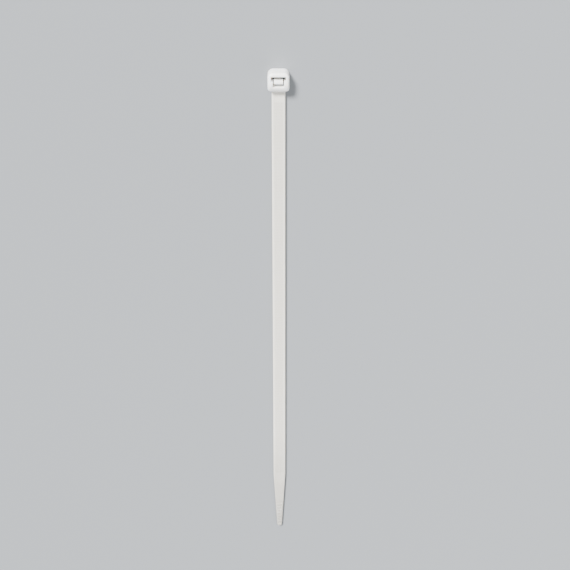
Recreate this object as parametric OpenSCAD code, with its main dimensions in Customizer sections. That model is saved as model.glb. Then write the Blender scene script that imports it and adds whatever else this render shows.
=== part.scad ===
// A one-piece moulded cable tie: a ratchet head, a toothed strap and a tapered tail.
// It lies on its toothed side, with the head's exit face up. X runs along the strap from
// the head to the tail, and the origin is the middle of the strap passage through the
// head, on the plane that the tie rests on. All sizes are in millimetres.

/* [Strap] */
// Overall length, from the far end of the head to the tip of the tail
tie_l = 200; // [140:5:370]
// Width of the strap
strap_w = 4.7; // [3.8:0.1:6.5]
// Thickness of the strap over its side rails
strap_t = 1.3; // [1.15:0.05:1.8]
// Width of the smooth rail at each side of the teeth
rail_w = 0.7; // [0.4:0.05:0.9]
// Radius on the strap's long edges
edge_r = 0.35; // [0.1:0.05:0.5]
// Smooth length between the head and the first tooth
neck_l = 5; // [3:0.5:12]
// Radius where the top of the strap meets the head
neck_r = 0.9; // [0.3:0.1:1.5]
// Radius where the sides of the strap meet the head
neck_side_r = 0.4; // [0.1:0.05:0.6]

/* [Teeth] */
// Distance from one tooth to the next
tooth_pitch = 1.2; // [0.9:0.05:1.4]
// Height of a tooth from root to crest
tooth_h = 0.5; // [0.3:0.05:0.6]
// How far the crests stay back from the faces of the rails
crest_drop = 0.05; // [0.02:0.01:0.1]
// Flat along the strap on each crest and in each root
tooth_flat = 0.15; // [0.05:0.05:0.3]

/* [Tail] */
// Length of the tapered tail, which has no teeth
tail_l = 27; // [18:1:45]
// Width of the tail at its tip
tip_w = 2; // [1.4:0.1:3]
// Thickness of the tail at its tip
tip_t = 0.9; // [0.7:0.05:1.1]
// Number of grip ribs across each face of the tail
grip_ribs = 8; // [3:1:10]
// Distance from one grip rib to the next
grip_pitch = 1.5; // [1:0.1:1.7]
// Height of a grip rib
grip_h = 0.15; // [0.08:0.01:0.2]
// Radius of a grip rib's round top
grip_r = 0.35; // [0.25:0.05:0.5]

/* [Head] */
// Height of the head over the plane that the tie rests on
head_h = 5.2; // [4.9:0.1:7]
// Wall behind the strap passage, at the far end of the head
end_wall = 1.4; // [1:0.1:2.2]
// Wall at each side of the strap passage
side_wall = 1.2; // [1.1:0.1:2.2]
// Wall that joins the strap and carries the pawl
root_wall = 2.1; // [1.4:0.1:3]
// Room for the pawl beside the strap passage
pocket_l = 2.2; // [2:0.1:3]
// Radius of the far corners, seen from above
far_r = 2; // [0.8:0.1:2.4]
// Radius of the corners beside the strap, seen from above
near_r = 1.2; // [0.5:0.1:1.6]
// Radius along the top edges of the sides
top_r = 1; // [0.5:0.1:1.3]
// Radius along the top edge of the far end
end_r = 0.9; // [0.3:0.1:1.3]
// Radius along the bottom edges
bottom_r = 0.3; // [0.1:0.05:0.5]
// Length of the rounded slope that falls towards the strap
slope_l = 3.8; // [2:0.1:4.5]
// Fall of that slope
slope_drop = 1.7; // [0.5:0.1:1.9]

/* [Strap passage] */
// Clearance on the thickness of a strap in the passage
slot_gap = 0.3; // [0.15:0.05:0.5]
// Clearance at each edge of a strap in the passage
slot_side = 0.2; // [0.1:0.05:0.4]
// Width of the lead-in bevel round the entry
lead_in = 0.4; // [0.2:0.05:0.6]
// Depth of that bevel
lead_in_h = 0.8; // [0.4:0.1:1.2]

/* [Pawl] */
// Number of teeth on the pawl
pawl_teeth = 2; // [1:1:2]
// Thickness of the pawl behind its teeth
pawl_t = 0.9; // [0.6:0.05:1]
// How far the pawl's crests stand into the empty passage
pawl_bite = 0.4; // [0.2:0.05:0.6]
// Plain lip above the pawl's top tooth
pawl_lip = 0.25; // [0.1:0.05:0.4]
// How far the pawl's top stays below the exit face
pawl_drop = 0.35; // [0.1:0.05:0.5]
// Clearance between the pawl's sides and its pocket
pawl_gap = 0.35; // [0.2:0.05:0.5]
// Clearance between the pawl and the rails of a strap in the passage
pawl_side = 0.1; // [0.05:0.05:0.2]
// Height of the hinge's underside over the entry face
hinge_z = 0.4; // [0.2:0.05:0.7]
// Height of the hinge where it leaves the wall
hinge_t = 0.9; // [0.6:0.05:1.1]

/* [Hidden] */

// Passage and pocket, in plan
passage_l = strap_t + slot_gap;
passage_w = strap_w + 2 * slot_side;
pocket_x = passage_l / 2 + pocket_l;
channel_w = strap_w - 2 * rail_w;
pawl_w = channel_w - 2 * pawl_side;
pocket_w = pawl_w + 2 * pawl_gap;

// Head, from its far end to the face that the strap leaves
head_far = -(passage_l / 2 + end_wall);
head_near = pocket_x + root_wall;
head_l = head_near - head_far;
head_w = passage_w + 2 * side_wall;
slope_r = (slope_l * slope_l + slope_drop * slope_drop) / (2 * slope_drop);
// The rounded top edges leave this much of the flat exit face beside the passage
exit_flat = 0.15;
side_r = min(top_r, side_wall - exit_flat);

// Tail: where the taper starts, and the centre of its round tip
tip_r = tip_w / 2;
tip_x = head_far + tie_l - tip_r;
taper_x = head_far + tie_l - tail_l;

// Teeth: as many whole ones as fit between the neck and the tail
tooth_x = head_near + neck_l;
tooth_n = floor((taper_x - tooth_x) / tooth_pitch);
root_z = crest_drop + tooth_h;

// Pawl: its crest and root lines, its top and the foot of its lowest tooth
pawl_crest_x = passage_l / 2 - pawl_bite;
pawl_root_x = pawl_crest_x + tooth_h;
pawl_back_x = pawl_root_x + pawl_t;
pawl_top_z = head_h - pawl_drop;
pawl_foot_z = pawl_top_z - pawl_lip - pawl_teeth * tooth_pitch;
pawl_slope = (pawl_foot_z - hinge_z) / (pocket_x - pawl_root_x);

// Overlap of solids that are moulded as one, and how far cutters run past a face
merge = 0.5;
spill = 1;
// Steps in a quarter turn of a lofted edge, and round the curve of a neck or tip
edge_steps = 5;
loft_steps = 6;
// The last ring of the tip stops just short of a quarter turn, to leave it a small flat nose
nose_turn = 80;
nylon = [0.93, 0.93, 0.91];

// One ring of the loft: a rectangle in the plane at x, anticlockwise seen from the tail,
// with rounded corners that its own width and height limit
function ring(x, w, z_low, z_high) =
    let (r = min(edge_r, 0.49 * w, 0.49 * (z_high - z_low)),
         y = w / 2 - r,
         corners = [[y, z_high - r], [-y, z_high - r], [-y, z_low + r], [y, z_low + r]])
    [for (c = [0:3], i = [0:edge_steps])
        let (a = 90 * (c + i / edge_steps))
        [x, corners[c].x + r * cos(a), corners[c].y + r * sin(a)]];

// The underside rises along the tail by the height of a grip rib, so that the ribs below
// it end on the plane that the tie rests on, and the top falls to the tip's thickness
function tail_share(x) = (x - taper_x) / (tip_x - taper_x);
function tail_low(x) = grip_h * tail_share(x);
function tail_high(x) = strap_t + (grip_h + tip_t - strap_t) * tail_share(x);
function tail_width(x) = strap_w + (tip_w - strap_w) * tail_share(x);

// The neck: a quarter circle on the top and on both sides, from inside the head outwards
neck_rings = [
    for (i = [0:loft_steps])
        let (a = 90 * i / loft_steps)
        ring(head_near + neck_r * (1 - cos(a)),
             strap_w + 2 * neck_side_r * (1 - sin(a)),
             0,
             strap_t + neck_r * (1 - sin(a)))
];

// The tip: half a disc with rounded rims, in rings that close towards a small flat nose
tip_rings = [
    for (i = [0:loft_steps])
        let (a = nose_turn * i / loft_steps,
             middle = grip_h + tip_t / 2,
             rim = min(edge_r, 0.49 * tip_t),
             inset = max(0, rim - tip_r * (1 - sin(a))),
             half = tip_t / 2 - rim + sqrt(rim * rim - inset * inset))
        ring(tip_x + tip_r * sin(a) / sin(nose_turn), tip_w * cos(a), middle - half, middle + half)
];

strap_rings = concat(
    [ring(head_near - merge, strap_w + 2 * neck_side_r, 0, strap_t + neck_r)],
    neck_rings,
    [ring(taper_x, strap_w, 0, strap_t)],
    tip_rings
);

// Skins a list of rings that have the same number of points, and closes both ends
module loft(rings) {
    n = len(rings[0]);
    last = len(rings) - 1;
    sides = [
        for (k = [0:last - 1], i = [0:n - 1])
            let (a = k * n + i, a_next = k * n + (i + 1) % n, b = a + n, b_next = a_next + n)
            each [[a, b, b_next], [a, b_next, a_next]]
    ];
    first_cap = [for (i = [0:n - 1]) i];
    last_cap = [for (i = [n - 1:-1:0]) last * n + i];
    polyhedron(points = [for (r = rings) each r], faces = concat(sides, [first_cap, last_cap]));
}

// What rounding takes off a corner at the origin whose material lies at +x and +y
module corner_waste(r) {
    difference() {
        translate([-spill, -spill]) square(r + spill);
        translate([r, r]) circle(r);
    }
}

// A rectangle whose radii are listed anticlockwise from its low left corner
module rounded_rect(low, high, radii) {
    corners = [low, [high.x, low.y], high, [low.x, high.y]];
    difference() {
        translate(low) square(high - low);
        for (c = [0:3])
            if (radii[c] > 0) translate(corners[c]) rotate(90 * c) corner_waste(radii[c]);
    }
}

// Lays a profile drawn in x and z across the tie, centred on it
module across(w) {
    rotate([90, 0, 0]) linear_extrude(w, center = true) children();
}

// Lays a profile drawn in y and z along the tie, from x = 0
module along(l) {
    rotate([90, 0, 90]) linear_extrude(l) children();
}

// The head seen from the side, with the slope that falls towards the strap
module head_side() {
    slope_centre = [head_near - slope_l, head_h - slope_r];
    difference() {
        rounded_rect([head_far, 0], [head_near, head_h], [bottom_r, 0, 0, end_r]);
        difference() {
            translate(slope_centre) square([slope_l + spill, slope_r + spill]);
            translate(slope_centre) circle(slope_r);
        }
    }
}

// The head without its passage: what its three outlines have in common
module head_block() {
    intersection() {
        across(head_w) head_side();
        linear_extrude(head_h)
            rounded_rect([head_far, -head_w / 2], [head_near, head_w / 2],
                         [far_r, near_r, near_r, far_r]);
        translate([head_far, 0, 0]) along(head_l)
            rounded_rect([-head_w / 2, 0], [head_w / 2, head_h],
                         [bottom_r, bottom_r, side_r, side_r]);
    }
}

// The way through the head, with the pawl's pocket beside it and a bevelled entry below
module passage() {
    through = head_h + 2 * spill;
    translate([-passage_l / 2, -passage_w / 2, -spill])
        cube([passage_l, passage_w, through]);
    translate([0, -pocket_w / 2, -spill])
        cube([pocket_x, pocket_w, through]);
    intersection() {
        across(head_w)
            polygon([[-passage_l / 2, lead_in_h], [-passage_l / 2 - 2 * lead_in, -lead_in_h],
                     [passage_l / 2, -lead_in_h], [passage_l / 2, lead_in_h]]);
        translate([head_far, 0, 0]) along(head_l)
            polygon([[passage_w / 2, lead_in_h], [-passage_w / 2, lead_in_h],
                     [-passage_w / 2 - 2 * lead_in, -lead_in_h],
                     [passage_w / 2 + 2 * lead_in, -lead_in_h]]);
    }
}

// The pawl springs from the root wall and leans into the passage. Its ramps let a strap
// rise through the head, and the level tops of its teeth stop the strap from going back.
module pawl() {
    teeth = [
        for (k = [0:pawl_teeth - 1])
            let (foot = pawl_foot_z + k * tooth_pitch, top = foot + tooth_pitch)
            each [[pawl_root_x, foot], [pawl_crest_x, top - tooth_flat],
                  [pawl_crest_x, top], [pawl_root_x, top]]
    ];
    back_z = hinge_z + hinge_t + (pocket_x - pawl_back_x) * pawl_slope;
    across(pawl_w)
        polygon(concat(
            [[pocket_x + merge, hinge_z], [pocket_x, hinge_z]],
            teeth,
            [[pawl_root_x, pawl_top_z], [pawl_back_x, pawl_top_z], [pawl_back_x, back_z],
             [pocket_x, hinge_z + hinge_t], [pocket_x + merge, hinge_z + hinge_t]]
        ));
}

module head() {
    difference() {
        head_block();
        passage();
    }
    pawl();
}

// The rack in the underside, between the rails. Each tooth has its upright face towards
// the head and its ramp towards the tail.
module rack_waste() {
    end_x = tooth_x + tooth_n * tooth_pitch;
    teeth = [
        for (k = [0:tooth_n - 1])
            let (x = tooth_x + k * tooth_pitch)
            each [[x, root_z], [x, crest_drop], [x + tooth_flat, crest_drop],
                  [x + tooth_pitch - tooth_flat, root_z]]
    ];
    across(channel_w)
        polygon(concat(
            [[tooth_x - tooth_pitch, -spill], [tooth_x - tooth_pitch, 0],
             [tooth_x - tooth_flat, root_z]],
            teeth,
            [[end_x, root_z], [end_x, -spill]]
        ));
}

// A grip rib: a round bar sunk in one face of the tail so that only its top stands proud
module grip_rib(x, axis_z) {
    bar_l = tail_width(x) - 2 * edge_r;
    translate([x, bar_l / 2, axis_z]) rotate([90, 0, 0]) cylinder(h = bar_l, r = grip_r, $fn = 32);
}

module strap() {
    difference() {
        loft(strap_rings);
        rack_waste();
    }
    for (k = [0:grip_ribs - 1]) {
        x = tip_x - k * grip_pitch;
        grip_rib(x, tail_high(x) + grip_h - grip_r);
        grip_rib(x, grip_r);
    }
}

module cable_tie() {
    color(nylon) {
        head();
        strap();
    }
}

cable_tie();
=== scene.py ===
# %% [markdown]
# # A moulded nylon cable tie
#
# A cable tie is one injection moulding of natural nylon: a head with a sprung pawl, a strap with a rack
# of teeth, and a tapered tail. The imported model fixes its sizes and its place. Everything below dresses
# that model: it makes the same form again with the small radii that a mould leaves on every edge, gives
# it the milky nylon finish, and lays it on a plain floor under soft studio light.

# %% Load the fixed frame
import math

import bmesh
import bpy
import numpy as np
from mathutils import Matrix, Vector


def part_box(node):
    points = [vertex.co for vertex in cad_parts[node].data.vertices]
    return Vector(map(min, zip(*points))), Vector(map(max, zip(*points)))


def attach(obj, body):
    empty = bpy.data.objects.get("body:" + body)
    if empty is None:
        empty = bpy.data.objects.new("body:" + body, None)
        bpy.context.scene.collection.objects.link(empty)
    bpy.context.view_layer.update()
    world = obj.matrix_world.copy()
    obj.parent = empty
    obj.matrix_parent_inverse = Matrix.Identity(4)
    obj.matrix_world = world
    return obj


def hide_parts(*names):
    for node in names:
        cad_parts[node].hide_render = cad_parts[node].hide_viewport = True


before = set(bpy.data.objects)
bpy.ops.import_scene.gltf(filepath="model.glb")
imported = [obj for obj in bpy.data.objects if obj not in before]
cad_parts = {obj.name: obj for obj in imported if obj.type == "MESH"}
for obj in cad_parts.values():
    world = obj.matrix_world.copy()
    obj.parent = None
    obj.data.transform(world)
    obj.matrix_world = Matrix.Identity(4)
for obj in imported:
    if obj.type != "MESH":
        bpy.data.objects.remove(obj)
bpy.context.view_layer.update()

MM = 0.001  # the frame is in metres, and the sizes below are in millimetres
low, high = (np.array(corner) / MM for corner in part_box("cable_tie"))
print("CAD box, mm:", low.round(3), high.round(3))

# %% [markdown]
# ## Sizes
#
# The overall length, the head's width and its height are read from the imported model. The rest are the
# sizes of the moulding's own features, the same values as in the CAD, named once and used by every step.

# %% Sizes of the strap, its teeth and its tail
HEAD_FAR, TAIL_END = low[0], high[0]
HEAD_HALF_W, HEAD_H = high[1], high[2]

STRAP_W, STRAP_T, RAIL_W, EDGE_R = 4.7, 1.3, 0.7, 0.35
NECK_L, NECK_R, NECK_SIDE_R = 5.0, 0.9, 0.4
PITCH, TOOTH_H, CREST_DROP, TOOTH_FLAT = 1.2, 0.5, 0.05, 0.15
TAIL_L, TIP_W, TIP_T = 27.0, 2.0, 0.9
RIBS, RIB_PITCH, RIB_H, RIB_R = 8, 1.5, 0.15, 0.35

# %% Sizes of the head, its passage and its pawl
SLOT_GAP, SLOT_SIDE, POCKET_L, ROOT_WALL = 0.3, 0.2, 2.2, 2.1
LEAD_IN, LEAD_IN_H = 0.4, 0.8
FAR_R, NEAR_R, BOTTOM_R = 2.0, 1.2, 0.3
SLOPE_L, SLOPE_DROP = 3.8, 1.7
PAWL_TEETH, PAWL_T, PAWL_BITE, PAWL_LIP = 2, 0.9, 0.4, 0.25
PAWL_DROP, PAWL_GAP, PAWL_SIDE = 0.35, 0.35, 0.1
HINGE_Z, HINGE_T = 0.4, 0.9
DRAFT = 0.05  # how far the head's walls lean in above and below the parting line, to leave the mould

# %% What follows from them
PASSAGE_X, PASSAGE_Y = (STRAP_T + SLOT_GAP) / 2, STRAP_W / 2 + SLOT_SIDE
POCKET_X = PASSAGE_X + POCKET_L
HEAD_NEAR = POCKET_X + ROOT_WALL
SLOPE_R = (SLOPE_L**2 + SLOPE_DROP**2) / (2 * SLOPE_DROP)

CHANNEL_HALF = STRAP_W / 2 - RAIL_W
PAWL_HALF = CHANNEL_HALF - PAWL_SIDE
POCKET_Y = PAWL_HALF + PAWL_GAP
TIP_R = TIP_W / 2
TIP_X = TAIL_END - TIP_R
TAPER_X = TAIL_END - TAIL_L
TOOTH_X = HEAD_NEAR + NECK_L
TEETH = math.floor((TAPER_X - TOOTH_X) / PITCH)
ROOT_Z = CREST_DROP + TOOTH_H
RACK_HALF = TEETH * PITCH / 2
RACK_MIDDLE = TOOTH_X + RACK_HALF
print("head", round(HEAD_NEAR - HEAD_FAR, 2), "mm long,", TEETH, "teeth on the strap")

# %% [markdown]
# ## Surfaces as grids
#
# Every surface here is a grid of points: rings of points, one after another, that all have the same
# count. Faces join each ring to the next. A grid can be closed round each ring, and the last ring can
# join the first, which is how a head with a hole through it becomes one closed skin. Rounded corners are
# worked out as arcs, because a moulded edge is never sharp and its radius is what catches the light.

# %% An outline with rounded corners
def rounded(corners, radii, steps, closed=True):
    """The outline through corners, with an arc in place of each corner.

    An arc of radius r starts and ends at r / tan(half the corner's angle) from the corner. Its centre lies
    on the corner's bisector, at r / sin(half the angle), and its points turn evenly about that centre.
    """
    corners, radii = np.asarray(corners, float), np.asarray(radii, float).copy()
    if not closed:
        radii[[0, -1]] = 0
    back, ahead = np.roll(corners, 1, axis=0) - corners, np.roll(corners, -1, axis=0) - corners
    back /= np.linalg.norm(back, axis=1, keepdims=True)
    ahead /= np.linalg.norm(ahead, axis=1, keepdims=True)
    half = np.arccos(np.clip((back * ahead).sum(axis=1), -0.999999, 0.999999)) / 2
    reach = (radii / np.tan(half))[:, None]
    bisector = (back + ahead) / np.linalg.norm(back + ahead, axis=1, keepdims=True)
    centre = corners + bisector * (radii / np.sin(half))[:, None]
    start, end = corners + back * reach - centre, corners + ahead * reach - centre
    turn = (np.pi - 2 * half)[:, None, None]
    t = np.linspace(0, 1, steps + 1)[None, :, None]
    arcs = (np.sin((1 - t) * turn) * start[:, None] + np.sin(t * turn) * end[:, None]) / np.sin(turn)
    points = (centre[:, None] + arcs).reshape(-1, 2)
    apart = np.linalg.norm(points - np.roll(points, 1, axis=0), axis=1) > 1e-6
    return points[apart]

# %% A closed solid from rings of points
SAME_POINT = 1e-7  # metres


def grid_faces(rings, count, join_ends):
    """Four-sided faces from each ring to the next, and where the ends join, from the last to the first."""
    ring = np.arange(rings if join_ends else rings - 1)[:, None]
    at = np.arange(count)[None, :]
    ahead, right = (ring + 1) % rings, (at + 1) % count
    corners = [ring * count + at, ring * count + right, ahead * count + right, ahead * count + at]
    return np.stack([np.broadcast_to(c, (len(ring), count)) for c in corners], axis=-1).reshape(-1, 4)


def solid_from_rings(name, rings, join_ends):
    """An object from an array of rings in millimetres, with a flat face on each open end."""
    count = rings.shape[1]
    faces = grid_faces(len(rings), count, join_ends).tolist()
    if not join_ends:
        last = (len(rings) - 1) * count
        faces += [list(range(count)), list(range(last + count - 1, last - 1, -1))]
    mesh = bpy.data.meshes.new(name)
    mesh.from_pydata((rings.reshape(-1, 3) * MM).tolist(), [], faces)
    made = bmesh.new()
    made.from_mesh(mesh)
    bmesh.ops.remove_doubles(made, verts=made.verts, dist=SAME_POINT)
    bmesh.ops.recalc_face_normals(made, faces=made.faces)
    made.to_mesh(mesh)
    made.free()
    obj = bpy.data.objects.new(name, mesh)
    bpy.context.scene.collection.objects.link(obj)
    print(name, "has", len(mesh.vertices), "points and", len(mesh.polygons), "faces")
    return obj

# %% [markdown]
# ## The strap
#
# The real strap is a flat strip with rounded edges. Its top is smooth, and between two rails on its
# underside runs the rack that the pawl grips. A boolean cut for each tooth would be slow and leave sharp
# edges, so the whole strap is one profile carried along its length. The profile's width, height and
# channel depth follow from the distance along the strap, and the channel's depth draws the teeth.

# %% The strap's form as functions of the distance along it
NECK_X = HEAD_NEAR - DRAFT


def neck_flare(x):
    """1 at the head's leaning wall and 0 a neck radius from it on either side, along a quarter circle."""
    away = np.clip(1 - np.abs(x - NECK_X) / NECK_R, 0, 1)
    return 1 - np.sqrt(1 - away**2)


def taper_share(x):
    """0 where the tail's taper starts and 1 where its round tip does."""
    return np.clip((x - TAPER_X) / (TIP_X - TAPER_X), 0, 1)


def tip_turn(x):
    """How far round the tip's half circle, as the sine of the angle: 0 at its root, 1 at its end."""
    return np.clip((x - TIP_X) / TIP_R, 0, 1)


def half_width(x):
    """Half the strap's width: straight, then tapered, then a half circle, plus the flare of the neck."""
    plain = STRAP_W / 2 + (TIP_R - STRAP_W / 2) * taper_share(x)
    return plain * np.sqrt(1 - tip_turn(x) ** 2) + NECK_SIDE_R * neck_flare(x)


def bottom_and_top(x):
    """Heights of the strap's two faces. The tail thins, and its tip closes along a rounded rim."""
    share = taper_share(x)
    bottom = RIB_H * share
    top = STRAP_T + (RIB_H + TIP_T - STRAP_T) * share + NECK_R * neck_flare(x)
    inset = np.clip(EDGE_R - TIP_R * (1 - tip_turn(x)), 0, EDGE_R)
    lost = np.where(x > TIP_X, EDGE_R - np.sqrt(EDGE_R**2 - inset**2), 0)
    return bottom + lost, top - lost


def rib_faces(x):
    """The lowest and highest that a grip rib reaches at x. Each is a round bar, sunk in the tail's face."""
    centres = TIP_X - RIB_PITCH * np.arange(RIBS)
    away = x[:, None] - centres
    rise = np.sqrt(np.clip(RIB_R**2 - away**2, 0, None))
    top = STRAP_T + (RIB_H + TIP_T - STRAP_T) * taper_share(centres) + RIB_H - RIB_R + rise
    on = np.abs(away) < RIB_R
    return np.where(on, RIB_R - rise, np.inf).min(axis=1), np.where(on, top, -np.inf).max(axis=1)


widths = 2 * half_width(np.array([NECK_X, RACK_MIDDLE, TIP_X]))
print("the strap is", widths.round(2), "mm wide at the head's wall, at mid-rack and at the tip")

# %% Where the profile is placed along the strap
CREST_R = 0.05    # radius of the two corners of a tooth's crest
ROOF_FALL = 0.03  # the stretch after the last tooth in which the channel's roof comes down to the rails
BURIED = 0.28     # how far the strap's grid runs into the head's wall, where it can't be seen
BESIDE_NECK, BESIDE_RACK = 0.3, 0.2  # from the flare and from the rack to the profiles nearest them


def rack_stations():
    """(x, height of the channel's roof) along the rack, as one path.

    Each tooth starts with an upright face towards the head, has a short flat crest, and ends in a ramp
    towards the tail. The crest's two corners are rounded.
    """
    start = TOOTH_X + PITCH * np.arange(TEETH)[:, None]
    step = np.array([0, 0, TOOTH_FLAT, PITCH - TOOTH_FLAT])[None, :]
    x = (start + step).ravel()
    z = np.tile([ROOT_Z, CREST_DROP, CREST_DROP, ROOT_Z], TEETH)
    radius = np.tile([0, CREST_R, CREST_R, 0], TEETH)
    first = [[TOOTH_X - PITCH, 0], [TOOTH_X - TOOTH_FLAT, ROOT_Z]]
    end_x = TOOTH_X + PITCH * TEETH
    last = [[end_x, ROOT_Z], [end_x + ROOF_FALL, 0]]
    path = np.vstack([first, np.column_stack([x, z]), last])
    return rounded(path, np.concatenate([[0, 0], radius, [0, 0]]), 1, closed=False)


neck_x = NECK_X + NECK_R * (1 - np.cos(np.radians(np.linspace(0, 90, 11))))
bare_x = [HEAD_NEAR + NECK_R + BESIDE_NECK, TOOTH_X - PITCH - BESIDE_RACK]
inner_x = np.concatenate([[HEAD_NEAR - BURIED], neck_x, bare_x])
rack = rack_stations()
tail_x = np.linspace(rack[-1, 0] + BESIDE_RACK, TIP_X - RIB_PITCH * RIBS, 12)
rib_step = RIB_R * np.array([-1.0, -0.82, -0.7, -0.45, 0, 0.45, 0.7, 0.82, 1.0])
rib_x = (TIP_X - RIB_PITCH * np.arange(RIBS)[:, None] + rib_step).ravel()
tip_x = TIP_X + TIP_R * np.sin(np.radians(np.linspace(0, 89, 16)))
outer_x = np.unique(np.concatenate([tail_x, [TAPER_X], rib_x, tip_x]).round(5))
station_x = np.concatenate([inner_x, rack[:, 0], outer_x])
print(len(station_x), "profiles along the strap")

# %% How high the strap's faces lie there
bottom, top = bottom_and_top(station_x)
rib_bottom, rib_top = rib_faces(station_x)
crown = np.maximum(top, rib_top)
roof = np.minimum(bottom, rib_bottom)
roof[len(inner_x):len(inner_x) + len(rack)] = rack[:, 1]
print("the strap's top is", top.max().round(2), "mm high at the neck, and the tip", TIP_T, "mm thick")

# %% The strap's profile
FLAT_HOLD = 0.06   # a column of points this far inside each rounded edge holds the flat top flat
LEAST_RAIL = 0.1   # what is left of a rail where the tail narrows
CHANNEL_R = 0.05   # radius of the channel's corners
EDGE_TURN = np.radians([0, 18, 36, 54, 72, 90])


def strap_rings():
    """The profile at every station: half of it from the top's middle round to the bottom's, then mirrored.

    A flat stretch is a few columns of points, and a rounded corner is a quarter circle of radius r about
    a centre that lies r inside both faces.
    """
    w = half_width(station_x)
    r = np.minimum(EDGE_R, 0.49 * np.minimum(2 * w, top - bottom))
    flat_y, side = w - r, top - bottom - 2 * r
    inner = np.maximum(flat_y - FLAT_HOLD, 0.5 * flat_y)
    channel = np.minimum(CHANNEL_HALF, np.maximum(flat_y - LEAST_RAIL, 0.5 * flat_y))
    soft = np.minimum(CHANNEL_R, np.abs(roof - bottom) / 2)
    down = np.sign(roof - bottom) * soft
    over = [(flat_y + r * math.cos(a), top - r + r * math.sin(a)) for a in EDGE_TURN[-2::-1]]
    under = [(flat_y + r * math.cos(a), bottom + r - r * math.sin(a)) for a in EDGE_TURN]
    half = [
        (0 * w, crown), (0.4 * inner, crown), (0.8 * inner, crown), (inner, crown),
        ((inner + flat_y) / 2, top + 0.6 * (crown - top)), (flat_y, top), *over,
        (w, top - r - 0.15 * side), (w, bottom + r + 0.5 * side), (w, bottom + r + 0.15 * side), *under,
        (channel + soft, bottom), (channel, bottom + down), (channel, roof - down),
        (channel - soft, roof), (0.66 * channel, roof), (0.33 * channel, roof), (0 * w, roof),
    ]
    y, z = (np.stack(column, axis=1) for column in zip(*half))
    y = np.hstack([y, -y[:, -2:0:-1]])
    z = np.hstack([z, z[:, -2:0:-1]])
    return np.stack([np.broadcast_to(station_x[:, None], y.shape), y, z], axis=-1)


strap = solid_from_rings("strap", strap_rings(), join_ends=False)

# %% [markdown]
# ## The head
#
# The head is a small block with a hole through it. Its skin is a ring-shaped surface, like a square
# doughnut: up the outer wall, over the rounded top edge, across the top, down the inside of the passage,
# round the bevelled entry and back under to the wall. So each ring of the grid is one trip round the
# head as seen from above. A block with a boolean hole and bevelled edges would be quicker to write, but
# a bevel breaks down at the hole's small corners, and this top edge changes its radius on the way round.
#
# The outer rings are read from outlines at the same angles about one centre, so the wall's draft, the
# parting line and the edge radii are only changes of offset from ring to ring. The passage's rings are
# matched point by point instead, because its rim and its bevel move each point straight out of the hole.
# The bevel turns its points a little about the centre, and the lowest outer rings turn with it, so that
# no face between the two crosses another.

# %% Outlines of the head seen from above
CENTRE = np.array([0.5, 0.0])  # every ray from here crosses each outline once
SLOT_R = 0.15                  # radius of the passage's corners as seen from above


def outer_outline(far, near, side, steps=48):
    """The head's outline, moved inwards by these distances at its far end, its near end and its sides.

    Its far corners tighten a little faster than an exact offset, to leave the passage's corners a rim.
    """
    x0, x1, y = HEAD_FAR + far, HEAD_NEAR - near, HEAD_HALF_W - side
    far_r, near_r = FAR_R - 0.7 * (far + side), NEAR_R - 0.5 * (near + side)
    return rounded([[x0, -y], [x1, -y], [x1, y], [x0, y]], [far_r, near_r, near_r, far_r], steps)


def slot_outline():
    """The passage with the pawl's pocket beside it: a T as seen from above, with small rounded corners."""
    x0, x1, x2, y0, y1 = -PASSAGE_X, PASSAGE_X, POCKET_X, PASSAGE_Y, POCKET_Y
    corners = [[x0, -y0], [x1, -y0], [x1, -y1], [x2, -y1], [x2, y1], [x1, y1], [x1, y0], [x0, y0]]
    return rounded(corners, np.full(8, SLOT_R), 4)


print("the head's outline has", len(outer_outline(0, 0, 0)), "points and the slot's", len(slot_outline()))

# %% The angles at which outlines are read
LEAST_TURN = np.radians(0.15)  # angles closer together than this count as one


def angles_of(outline):
    """The angle of each outline point about the centre, from -pi to pi."""
    return np.arctan2(*(outline - CENTRE).T[::-1])


def cross(a, b):
    """How far a and b turn from one to the other: the cross product of each pair of flat vectors."""
    return a[:, 0] * b[:, 1] - a[:, 1] * b[:, 0]


def at_angles(outline, angles):
    """The outline's points at these angles: where each ray from the centre crosses one of its sides."""
    outline = outline[np.argsort(angles_of(outline))]
    side = np.searchsorted(angles_of(outline), angles) % len(outline)
    a, b = outline[side - 1] - CENTRE, outline[side] - CENTRE
    ray = np.column_stack([np.cos(angles), np.sin(angles)])
    return CENTRE + ray * (cross(a, b - a) / cross(ray, b - a))[:, None]


every_angle = np.sort(np.concatenate([
    angles_of(outer_outline(0, 0, 0, 12)), angles_of(slot_outline()), np.linspace(-np.pi, np.pi, 181),
]))
HEAD_ANGLES = every_angle[np.append(np.diff(every_angle) > LEAST_TURN, False)]
SLOT_WALL = at_angles(slot_outline(), HEAD_ANGLES)
print(len(HEAD_ANGLES), "points round each ring of the head")

# %% How the slot's outline grows
ENTRY_R = 0.08  # radius of the rim below the bevel


def rim(grow):
    """The slot's wall moved into the plastic, each point along the bisector of its two sides' normals."""
    side = np.roll(SLOT_WALL, -1, axis=0) - SLOT_WALL
    side /= np.linalg.norm(side, axis=1, keepdims=True)
    both = side + np.roll(side, 1, axis=0)
    both /= np.linalg.norm(both, axis=1, keepdims=True)
    return SLOT_WALL + grow * np.column_stack([both[:, 1], -both[:, 0]])


def entry(grow):
    """The same wall with the passage's three sides moved outwards and the pocket's left where they are.

    A point moves by the share of the way that it lies from the pocket, so each face of the bevel is flat.
    """
    x, y = SLOT_WALL.T
    beyond = np.clip((PASSAGE_X - x) / (2 * PASSAGE_X), 0, 1)
    beside = np.clip((np.abs(y) - POCKET_Y) / (PASSAGE_Y - POCKET_Y), 0, 1)
    return np.column_stack([x - grow * beyond, y + grow * beside * np.sign(y)])


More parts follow.
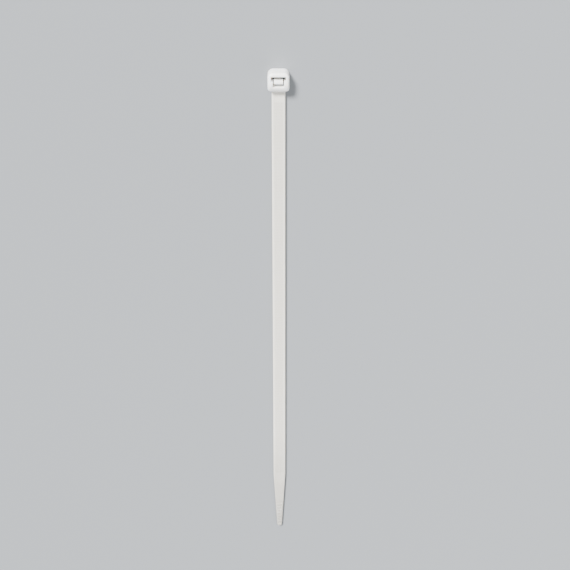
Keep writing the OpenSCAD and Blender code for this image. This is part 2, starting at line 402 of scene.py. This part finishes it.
BEVEL_RIM = entry(LEAD_IN) + rim(ENTRY_R) - SLOT_WALL
BEVEL_TURN = (angles_of(BEVEL_RIM) - HEAD_ANGLES + np.pi) % (2 * np.pi) - np.pi
print("the bevel turns its points by up to", np.degrees(np.abs(BEVEL_TURN)).max().round(2), "degrees")

# %% Rings of the head
def top_height(x):
    """The head's top: flat from the far end, then an arc of a large circle that falls to the strap."""
    past = np.clip(x - (HEAD_NEAR - SLOPE_L), 0, SLOPE_L)
    return HEAD_H - (SLOPE_R - np.sqrt(SLOPE_R**2 - past**2))


def ring_at(flat, z):
    """One ring: points seen from above, at height z, which may be a function of x."""
    return np.column_stack([flat, z(flat[:, 0]) if callable(z) else np.broadcast_to(z, len(flat))])


def outer_ring(insets, z, turned=0.0):
    """One ring of the outer skin, turned by a share of the bevel's turn.

    The insets are those of the far end, the near end and the sides, or one number for all three.
    """
    outline = outer_outline(*np.broadcast_to(insets, 3))
    return ring_at(at_angles(outline, HEAD_ANGLES + turned * BEVEL_TURN), z)


print("the top falls from", HEAD_H.round(2), "to", top_height(HEAD_NEAR).round(2), "mm above the floor")

# %% The outer wall and the top
PARTING_Z = 2.0       # height of the line where the two halves of the mould meet
PARTING_H = 0.015     # how far the plastic stands out along that line
PARTING_HALF = 0.035  # half the height of the line itself
FAR_TOP_R, NEAR_TOP_R, SIDE_TOP_R = 0.9, 0.4, 0.95  # the top's outer edge at its ends and its sides
RIM_R = 0.12                                        # the passage's rim in the top


def top_edge_radius():
    """Radius of the top's outer edge at each angle, blended between the sides and the two ends."""
    wall = at_angles(outer_outline(0, 0, 0), HEAD_ANGLES)
    along = np.roll(wall, -1, axis=0) - np.roll(wall, 1, axis=0)
    normal = np.column_stack([along[:, 1], -along[:, 0]]) / np.linalg.norm(along, axis=1, keepdims=True)
    end_r = np.where(normal[:, 0] > 0, NEAR_TOP_R, FAR_TOP_R)
    return SIDE_TOP_R * normal[:, 1] ** 2 + end_r * normal[:, 0] ** 2


def wall_rings(radius):
    """The underside's rounded edge, the wall up to the parting line, that line, and the wall above it."""
    wall_top_z = outer_ring(DRAFT, top_height)[:, 2] - radius
    low_z, high_z = PARTING_Z - PARTING_HALF, PARTING_Z + PARTING_HALF
    rings = []
    for a in np.radians(np.linspace(0, 90, 5)):
        rings.append(outer_ring(DRAFT + BOTTOM_R * (1 - math.sin(a)), BOTTOM_R * (1 - math.cos(a)), 1))
    for share in (0.05, 0.5, 0.95):
        inset, z = DRAFT + (PARTING_H - DRAFT) * share, BOTTOM_R + (low_z - BOTTOM_R) * share
        rings.append(outer_ring(inset, z, 1 - share))
    for a in np.radians([-90, -45, 0, 45, 90]):
        rings.append(outer_ring(PARTING_H * (1 - math.cos(a)), PARTING_Z + PARTING_HALF * math.sin(a)))
    for share in (0.1, 0.5, 0.93):
        inset, z = PARTING_H + (DRAFT - PARTING_H) * share, high_z + (wall_top_z - high_z) * share
        rings.append(outer_ring(inset, z))
    return rings


def top_rings(radius):
    """The rounded top edge, then the top's surface in to the brink of the passage."""
    rings = []
    for a in np.radians(np.linspace(0, 90, 9)):
        insets = DRAFT + np.array([FAR_TOP_R, NEAR_TOP_R, SIDE_TOP_R]) * (1 - math.cos(a))
        rings.append(outer_ring(insets, top_height))
        rings[-1][:, 2] -= radius * (1 - math.sin(a))
    edge, brink = rings[-1][:, :2], rim(RIM_R)
    return rings + [ring_at(edge + (brink - edge) * share, top_height) for share in (0.2, 0.5, 0.8)]

# %% The passage and the whole skin
def passage_rings():
    """Down through the head: the brink's rounding, the passage's wall, the bevel and the entry's rim."""
    rings = []
    for a in np.radians(np.linspace(0, 90, 4)):
        rings.append(ring_at(rim(RIM_R * (1 - math.sin(a))), top_height))
        rings[-1][:, 2] -= RIM_R * (1 - math.cos(a))
    wall_top_z = rings[-1][:, 2]
    for share in (0.03, 0.25, 0.5, 0.75, 0.97):
        rings.append(ring_at(SLOT_WALL, wall_top_z + (LEAD_IN_H - wall_top_z) * share))
    for share in (0, 0.05, 0.5, 0.85):
        rings.append(ring_at(entry(LEAD_IN * share), LEAD_IN_H * (1 - share)))
    for share, z in ((0.12, 0.04), (0.5, 0.01), (1, 0)):
        rings.append(ring_at(entry(LEAD_IN) * (1 - share) + BEVEL_RIM * share, z))
    return rings


edge_r = top_edge_radius()
print("the top's outer edge has a radius of", edge_r.min().round(2), "to", edge_r.max().round(2), "mm")
head = solid_from_rings(
    "head", np.stack(wall_rings(edge_r) + top_rings(edge_r) + passage_rings()), join_ends=True,
)

# %% [markdown]
# ## The pawl
#
# The pawl is a short springy tongue inside the head. It stands on a thin hinge at the wall next to the
# strap and leans into the passage, and its two teeth fit the rack. From the side it is one outline, so
# it is that outline carried across the passage, with the last rings on each side drawn in a little to
# round the edges. A smoothed block would do for the tongue, but it would soften the upright tooth faces
# that hold the strap.

# %% The pawl's outline
PAWL_CREST_X = PASSAGE_X - PAWL_BITE
PAWL_ROOT_X, PAWL_TOP_Z = PAWL_CREST_X + TOOTH_H, HEAD_H - PAWL_DROP
PAWL_BACK_X = PAWL_ROOT_X + PAWL_T
PAWL_FOOT_Z = PAWL_TOP_Z - PAWL_LIP - PAWL_TEETH * PITCH
PAWL_EDGE_R = 0.04
HINGE_ROOT = 0.5  # how far the hinge runs into the head's wall


def pawl_outline():
    """Corners in x and z, from the hinge's underside up the toothed face, over the top and down the back.

    Each corner is x, z and its radius.
    """
    lean = (PAWL_FOOT_Z - HINGE_Z) / (POCKET_X - PAWL_ROOT_X)
    hinge_top, back_z = HINGE_Z + HINGE_T, HINGE_Z + HINGE_T + (POCKET_X - PAWL_BACK_X) * lean
    inside = POCKET_X + HINGE_ROOT
    corners = [(inside, HINGE_Z, 0.02), (POCKET_X, HINGE_Z, 0.1), (PAWL_ROOT_X, PAWL_FOOT_Z, 0.05)]
    for tooth in range(PAWL_TEETH):
        crest = PAWL_FOOT_Z + PITCH * (tooth + 1)
        tooth_corners = [(PAWL_CREST_X, crest - TOOTH_FLAT), (PAWL_CREST_X, crest), (PAWL_ROOT_X, crest)]
        corners += [(x, z, PAWL_EDGE_R) for x, z in tooth_corners]
    corners += [(PAWL_ROOT_X, PAWL_TOP_Z, 0.08), (PAWL_BACK_X, PAWL_TOP_Z, 0.12)]
    corners += [(PAWL_BACK_X, back_z, 0.4), (POCKET_X, hinge_top, 0.15), (inside, hinge_top, 0.02)]
    corners = np.array(corners)
    return rounded(corners[:, :2], corners[:, 2], 4)


print("the pawl's outline has", len(pawl_outline()), "points")

# %% The pawl's solid
def pawl_rings():
    """The outline at each step across the passage. Near the two sides it shrinks along its own normals."""
    outline = pawl_outline()
    along = np.roll(outline, -1, axis=0) - np.roll(outline, 1, axis=0)
    outward = np.column_stack([along[:, 1], -along[:, 0]]) / np.linalg.norm(along, axis=1, keepdims=True)
    outward *= np.sign(cross(outline, np.roll(outline, -1, axis=0)).sum())
    turn = np.radians(np.linspace(0, 90, 4))
    edge_y, shrink = PAWL_EDGE_R * np.sin(turn), PAWL_EDGE_R * (1 - np.cos(turn))[::-1]
    middle = [-0.5 * PAWL_HALF, 0.5 * PAWL_HALF]
    y = np.concatenate([-PAWL_HALF + edge_y, middle, PAWL_HALF - edge_y[::-1]])
    inset = np.concatenate([shrink, [0, 0], shrink[::-1]])
    flat = outline[None] - outward[None] * inset[:, None, None]
    return np.stack([flat[..., 0], np.broadcast_to(y[:, None], flat.shape[:2]), flat[..., 1]], axis=-1)


pawl = solid_from_rings("pawl", pawl_rings(), join_ends=False)

# %% [markdown]
# ## One moulding
#
# Head, pawl and strap come out of the mould as one piece, so the three closed skins are joined by an
# exact union, which drops what lies inside the plastic. Sharp bends in what is left stay sharp, and
# everything else is shaded smooth.

# %% Join the three into one closed skin
JOIN_POINTS = 2e-6  # metres; the union leaves pairs of points this close where skins cross
SHARP = math.radians(38)
IN_ORDER = Vector((1, 0.618, 0.414))  # a slanting direction, along which hardly any two points are level


def united(target, *others):
    """The exact union of closed solids as one new mesh."""
    for other in others:
        join = target.modifiers.new("join", "BOOLEAN")
        join.operation, join.solver, join.object = "UNION", "EXACT", other
    bpy.context.view_layer.update()
    whole = target.evaluated_get(bpy.context.evaluated_depsgraph_get())
    mesh = bpy.data.meshes.new_from_object(whole)
    for used in (target, *others):
        skin = used.data
        bpy.data.objects.remove(used)
        bpy.data.meshes.remove(skin)
    return mesh


joined = united(head, strap, pawl)
made = bmesh.new()
made.from_mesh(joined)
# The union numbers its points and faces differently from run to run, so they are put in order by place.
made.verts.sort(key=lambda point: point.co.dot(IN_ORDER))
bmesh.ops.remove_doubles(made, verts=made.verts, dist=JOIN_POINTS)
made.faces.sort(key=lambda face: face.calc_center_median().dot(IN_ORDER))
open_edges = sum(len(edge.link_faces) != 2 for edge in made.edges)
made.to_mesh(joined)
made.free()
joined.polygons.foreach_set("use_smooth", np.ones(len(joined.polygons), bool))
joined.set_sharp_from_angle(angle=SHARP)
print("joined:", len(joined.polygons), "faces,", open_edges, "edges without two faces")

# %% Shade its flat walls flat
# The shading normals lean to the larger faces, so flat walls look flat right up to their rounded edges.
tie = bpy.data.objects.new("tie_moulding", joined)
bpy.context.scene.collection.objects.link(tie)
weighted = tie.modifiers.new("flat_walls", "WEIGHTED_NORMAL")
weighted.keep_sharp = True
bpy.context.view_layer.update()
shaded = bpy.data.meshes.new_from_object(tie.evaluated_get(bpy.context.evaluated_depsgraph_get()))
tie.modifiers.clear()
tie.data = shaded
bpy.data.meshes.remove(joined)
shaded.name = "cable_tie_moulding"
shaded.calc_loop_triangles()
print("one moulding of", len(shaded.loop_triangles), "triangles")

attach(tie, "root")
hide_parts("cable_tie")

# %% [markdown]
# ## Natural nylon
#
# The real tie is unpigmented nylon 6/6, which is milky rather than white: light goes a millimetre or two
# into it and comes out again, so its shadows are soft, and its thin parts look greyer than its thick
# head. The tail is the thinnest and greyest, and the rack shows faintly through the strap. The skin has
# the satin of the mould's steel, with faint lines along the strap where the mould was polished and the
# plastic flowed.
#
# The shader is a dielectric with subsurface scattering. At this depth the scattering greys the thin strap
# only a little, so the rest is painted into the colour as shade, by the distance along the tie and the
# place over the rack. The pattern sizes are worked out from millimetres.

# %% Colours and a helper for nodes
def linear(hex_colour):
    """An sRGB colour such as F2F1EC as linear red, green, blue and full alpha."""
    channel = np.array([int(hex_colour[i:i + 2], 16) for i in (0, 2, 4)]) / 255
    return (*np.where(channel <= 0.04045, channel / 12.92, ((channel + 0.055) / 1.055) ** 2.4), 1.0)


def add_node(tree, kind, links=(), sockets=(), **settings):
    """A node of this kind with its settings, its socket values and its incoming links."""
    node = tree.nodes.new(kind)
    for name, value in settings.items():
        setattr(node, name, value)
    for name, value in dict(sockets).items():
        node.inputs[name].default_value = value
    for name, source in dict(links).items():
        tree.links.new(source, node.inputs[name])
    return node


def new_material(name):
    """A material with an empty node tree and its output."""
    material = bpy.data.materials.new(name)
    material.use_nodes = True
    material.node_tree.nodes.clear()
    return material, add_node(material.node_tree, "ShaderNodeOutputMaterial")


def per_mm(size):
    """The texture scale at which one cell of a pattern is this many millimetres."""
    return 1 / (size * MM)


print("a pattern of", PITCH, "mm has a texture scale of", round(per_mm(PITCH)))

# %% Painted shade where the nylon is thin
# The head's tone is the nylon's own white. The strap's and the tip's tones are painted shade, greyer where
# it is thin.
HEAD_TONE, STRAP_SHADED_TONE, TIP_SHADED_TONE = linear("FBFAF8"), linear("DDD9CF"), linear("94918A")
HEAD_FADE = 2.0   # the stretch beside the head over which its tone goes over to the strap's
TIP_FADE = 20.0   # how far before the taper the tail's tone begins
print("head, strap and tip as linear colours:")
print(np.round([HEAD_TONE, STRAP_SHADED_TONE, TIP_SHADED_TONE], 3)[:, :3])


def thinness_painted_shade(tree, place):
    """The head's and the strap's colours, and 0 to 1 from before the taper to the tail's end.

    The thick head scatters more light back than the thin strap, so it is the whiter end. The strap's
    greyer tone and the tail's darker one are painted shade, for the light that a thin wall lets through.
    """
    along = add_node(tree, "ShaderNodeSeparateXYZ", {"Vector": place}).outputs["X"]
    thin = add_node(
        tree, "ShaderNodeMapRange", {"Value": along},
        {"From Min": HEAD_NEAR * MM, "From Max": (HEAD_NEAR + HEAD_FADE) * MM},
        interpolation_type="SMOOTHSTEP",
    )
    body = add_node(
        tree, "ShaderNodeMix", {"Factor": thin.outputs["Result"]},
        {"A": HEAD_TONE, "B": STRAP_SHADED_TONE}, data_type="RGBA",
    )
    thinnest = add_node(
        tree, "ShaderNodeMapRange", {"Value": along},
        {"From Min": (TAPER_X - TIP_FADE) * MM, "From Max": TAIL_END * MM},
    )
    return body.outputs["Result"], thinnest.outputs["Result"]

# %% Painted shade over the rack, where it would show through the strap
# The rack's tone is painted shade: a greyer stripe where light would pass through the thin rack.
RACK_SHADED_TONE = linear("CDC9BF")
CREST_SHARE = 0.7  # how much of the rack's tone is left over the teeth's crests
END_BLUR = 0.5     # how far past the rack's two ends its tone fades out
SIDE_BLUR_OUT, SIDE_BLUR_IN = 0.15, 0.25  # the same beyond the channel's wall and inside it
BAR_SCALE = per_mm(PITCH) * math.pi / 10
print("one wave to a pitch needs a wave texture's scale of", round(BAR_SCALE, 1))


def painted_rack_shade(tree, place):
    """0 beside the rack and up to 1 over it.

    The rack is thinner than the rails beside it, and its roots are thinner than its crests, so it would
    show through the milky strap. Painted shade stands in for that: a slightly greyer stripe with faint
    bars. The stripe is the product of two ramps, one over the distance from the rack's middle along the
    strap and one over that across it. The bars are a sine of one wave to a pitch: at a scale of 1 the
    texture's wave is pi / 10 long.
    """
    from_middle = add_node(
        tree, "ShaderNodeVectorMath", {0: place}, {1: (RACK_MIDDLE * MM, 0, 0)}, operation="SUBTRACT",
    )
    apart = add_node(
        tree, "ShaderNodeVectorMath", {0: from_middle.outputs["Vector"]}, operation="ABSOLUTE",
    )
    apart = add_node(tree, "ShaderNodeSeparateXYZ", {"Vector": apart.outputs["Vector"]})
    along = add_node(
        tree, "ShaderNodeMapRange", {"Value": apart.outputs["X"]},
        {"From Min": (RACK_HALF + END_BLUR) * MM, "From Max": RACK_HALF * MM},
    )
    across = add_node(
        tree, "ShaderNodeMapRange", {"Value": apart.outputs["Y"]},
        {
            "From Min": (CHANNEL_HALF + SIDE_BLUR_OUT) * MM,
            "From Max": (CHANNEL_HALF - SIDE_BLUR_IN) * MM,
        },
        interpolation_type="SMOOTHSTEP",
    )
    bars = add_node(
        tree, "ShaderNodeTexWave", {"Vector": place},
        {"Scale": BAR_SCALE, "Distortion": 0.0}, bands_direction="X", wave_profile="SIN",
    )
    bars = add_node(
        tree, "ShaderNodeMapRange", {"Value": bars.outputs["Fac"]}, {"To Min": CREST_SHARE, "To Max": 1.0},
    )
    stripe = add_node(
        tree, "ShaderNodeMath", {0: along.outputs["Result"], 1: across.outputs["Result"]},
        operation="MULTIPLY",
    )
    return add_node(
        tree, "ShaderNodeMath", {0: stripe.outputs["Value"], 1: bars.outputs["Result"]},
        operation="MULTIPLY",
    ).outputs["Value"]

# %% The nylon's colour and its painted shade
CLOUD_TONE = linear("D0CEC6")
CLOUD_MM, CLOUD_MOST = 6, 0.3
MOST_OF_NOISE = {"From Min": 0.3, "From Max": 0.7}  # noise seldom leaves this range


def nylon_colour_and_shade(tree, place):
    """The greyed colour, clouded softly over some millimetres, as uneven crystals cloud cooling nylon."""
    # The thin strap, the rack and the tail are greyed with painted shade. The soft clouding is the nylon's
    # own.
    body, thinnest = thinness_painted_shade(tree, place)
    rack_shaded = add_node(
        tree, "ShaderNodeMix", {"Factor": painted_rack_shade(tree, place), "A": body},
        {"B": RACK_SHADED_TONE}, data_type="RGBA",
    )
    greyed = add_node(
        tree, "ShaderNodeMix", {"Factor": thinnest, "A": rack_shaded.outputs["Result"]},
        {"B": TIP_SHADED_TONE}, data_type="RGBA",
    )
    cloud = add_node(
        tree, "ShaderNodeTexNoise", {"Vector": place}, {"Scale": per_mm(CLOUD_MM), "Detail": 3.0},
    )
    clouded = add_node(
        tree, "ShaderNodeMapRange", {"Value": cloud.outputs["Fac"]},
        {**MOST_OF_NOISE, "To Min": 0.0, "To Max": CLOUD_MOST},
    )
    return add_node(
        tree, "ShaderNodeMix", {"Factor": clouded.outputs["Result"], "A": greyed.outputs["Result"]},
        {"B": CLOUD_TONE}, data_type="RGBA",
    ).outputs["Result"]

# %% The nylon's satin skin
LINE_MM, DRAWN_OUT = 0.35, 40  # the width of a line of flow, and how many times longer it is
GRAIN_MM = 0.12                # the mould steel's grain, coarser than the real one, to show from close
LINE_DEPTH, GRAIN_DEPTH = 0.02, 0.01  # millimetres
SMOOTHEST, ROUGHEST = 0.25, 0.36      # roughness along the lines of flow
print("lines of flow", LINE_MM, "mm wide and about", LINE_MM * DRAWN_OUT, "mm long")


def satin_skin(tree, place):
    """(roughness, normal) of the skin: lines of flow along the strap over the mould's fine grain."""
    drawn = add_node(tree, "ShaderNodeMapping", {"Vector": place}, {"Scale": (1 / DRAWN_OUT, 1, 1)})
    lines = add_node(
        tree, "ShaderNodeTexNoise", {"Vector": drawn.outputs["Vector"]}, {"Scale": per_mm(LINE_MM)},
    ).outputs["Fac"]
    grain = add_node(
        tree, "ShaderNodeTexNoise", {"Vector": place}, {"Scale": per_mm(GRAIN_MM), "Detail": 2.0},
    )
    rough = add_node(
        tree, "ShaderNodeMapRange", {"Value": lines},
        {**MOST_OF_NOISE, "To Min": SMOOTHEST, "To Max": ROUGHEST},
    )
    fine = add_node(
        tree, "ShaderNodeBump", {"Height": grain.outputs["Fac"]},
        {"Strength": 0.25, "Distance": GRAIN_DEPTH * MM},
    )
    relief = add_node(
        tree, "ShaderNodeBump", {"Height": lines, "Normal": fine.outputs["Normal"]},
        {"Strength": 0.35, "Distance": LINE_DEPTH * MM},
    )
    return rough.outputs["Result"], relief.outputs["Normal"]

# %% The nylon
def natural_nylon():
    """Nylon 6/6, natural, injection moulded in a satin-polished mould: milky, with a soft sheen.

    Red light travels a little further in it than blue, which warms it slightly where it is thin.
    """
    material, out = new_material("nylon_66_natural_moulded")
    tree = material.node_tree
    place = add_node(tree, "ShaderNodeTexCoord").outputs["Object"]
    rough, normal = satin_skin(tree, place)
    shader = add_node(
        tree, "ShaderNodeBsdfPrincipled",
        {"Base Color": nylon_colour_and_shade(tree, place), "Roughness": rough, "Normal": normal},
        {
            "IOR": 1.53, "Subsurface Weight": 1.0,
            "Subsurface Radius": (1.0, 0.95, 0.88), "Subsurface Scale": 0.6 * MM,
        },
    )
    tree.links.new(shader.outputs["BSDF"], out.inputs["Surface"])
    print(material.name, "has", len(tree.nodes), "nodes")
    return material


tie.data.materials.clear()
tie.data.materials.append(natural_nylon())

# %% [markdown]
# ## Floor, light and camera
#
# The tie lies on a plain pale grey floor. White plastic needs a floor that is a little darker than
# itself, or its edges are lost. The key light stands beyond the head's end, to one side. It is a distant
# light that fills a wide angle, because that gives the soft shadow of a studio panel and lights the
# whole floor evenly, where a near panel would leave the floor dark further out. A weak panel on the
# other side and an even sky fill the shadows.

# %% The floor
FLOOR_R = 3             # metres
FLOOR_DROP = 0.01 * MM  # how far it lies under the tie, so that the two surfaces don't share a plane
BOARD_GRAIN_MM, BOARD_GRAIN_DEPTH = 1.5, 0.05


def pale_floor():
    """A disc of painted board, wide enough for every view, just under the tie. It is matt and even."""
    around = np.radians(np.arange(0, 360, 3))
    mesh = bpy.data.meshes.new("floor")
    edge = FLOOR_R * np.column_stack([np.cos(around), np.sin(around), 0 * around])
    mesh.from_pydata((edge - [0, 0, FLOOR_DROP]).tolist(), [], [list(range(len(edge)))])
    floor = bpy.data.objects.new("floor", mesh)
    bpy.context.scene.collection.objects.link(floor)
    material, out = new_material("matt_painted_board")
    tree = material.node_tree
    place = add_node(tree, "ShaderNodeTexCoord").outputs["Object"]
    grain = add_node(
        tree, "ShaderNodeTexNoise", {"Vector": place}, {"Scale": per_mm(BOARD_GRAIN_MM), "Detail": 3.0},
    )
    bump = add_node(
        tree, "ShaderNodeBump", {"Height": grain.outputs["Fac"]},
        {"Strength": 0.1, "Distance": BOARD_GRAIN_DEPTH * MM},
    )
    shader = add_node(
        tree, "ShaderNodeBsdfPrincipled", {"Normal": bump.outputs["Normal"]},
        {"Base Color": linear("7E8184"), "Roughness": 0.75, "IOR": 1.5},
    )
    tree.links.new(shader.outputs["BSDF"], out.inputs["Surface"])
    mesh.materials.append(material)
    print("floor", 2 * FLOOR_R, "m across")
    return floor


pale_floor()

# %% The lights
MIDDLE = Vector(((low + high) / 2 * MM).tolist())
KEY_PLACE, FILL_PLACE = (-0.68, -0.4, 0.66), (0.5, 0.7, 0.6)  # metres from the tie's middle
KEY_STRENGTH, FILL_STRENGTH, SKY_STRENGTH = 14.5, 7, 1.0
KEY_WIDTH = math.radians(16)  # as wide as a panel of 30 cm at a metre
FILL_SIDE = 0.7               # metres


def lamp_facing_tie(light, place):
    """A lamp at this place from the tie's middle, facing that middle."""
    lamp = bpy.data.objects.new(light.name, light)
    lamp.location = MIDDLE + Vector(place)
    lamp.rotation_euler = (-Vector(place)).to_track_quat("-Z", "Y").to_euler()
    bpy.context.scene.collection.objects.link(lamp)


key = bpy.data.lights.new("key_light", "SUN")
key.energy, key.angle = KEY_STRENGTH, KEY_WIDTH
lamp_facing_tie(key, KEY_PLACE)

fill = bpy.data.lights.new("fill_panel", "AREA")
fill.energy, fill.size = FILL_STRENGTH, FILL_SIDE
lamp_facing_tie(fill, FILL_PLACE)

world = bpy.data.worlds.new("studio")
world.use_nodes = True
sky = world.node_tree.nodes["Background"].inputs
sky["Color"].default_value, sky["Strength"].default_value = linear("F2F4F6"), SKY_STRENGTH
bpy.context.scene.world = world
print("key", KEY_STRENGTH, "W/m2, fill", FILL_STRENGTH, "W, sky", SKY_STRENGTH)

# %% The camera
ELEVATION = 60         # degrees above the floor, from beyond the head's end
LENS, SENSOR = 85, 36
PICTURE = 570          # the picture's side in pixels
HEAD_ROW, TAIL_ROW = 68, 524
TIE_COLUMN = 279


def place_camera():
    """A long lens that looks down on the tie with its head at the top of the picture.

    For a point s beyond the target along the tie, its row below the middle is F s sin(e) / (D + s cos(e)),
    where F is the focal length in pixels, e the elevation and D the distance. The rows of the two ends
    give two such equations, and the tie's length their sum, which fixes D and the target.
    """
    focal = LENS / SENSOR * PICTURE
    rise, run = math.sin(math.radians(ELEVATION)), math.cos(math.radians(ELEVATION))
    up, down = PICTURE / 2 - HEAD_ROW, TAIL_ROW - PICTURE / 2
    head_part, tail_part = up / (focal * rise + up * run), down / (focal * rise - down * run)
    length = (TAIL_END - HEAD_FAR) * MM
    distance = length / (head_part + tail_part)
    target = Vector((HEAD_FAR * MM + head_part * distance, 0, 0))
    target.y = (PICTURE / 2 - TIE_COLUMN) * distance / focal
    back = Vector((-run, 0, rise))
    across = Vector((0, 1, 0))
    camera = bpy.data.cameras.new("camera")
    camera.lens, camera.sensor_width = LENS, SENSOR
    camera.clip_start, camera.clip_end = 0.01, 20
    eye = bpy.data.objects.new("camera", camera)
    turn = Matrix((across, back.cross(across), back)).transposed()
    eye.matrix_world = Matrix.Translation(target + back * distance) @ turn.to_4x4()
    bpy.context.scene.collection.objects.link(eye)
    bpy.context.scene.camera = eye
    print("camera", round(distance / MM), "mm from", [round(c / MM, 1) for c in target])


place_camera()
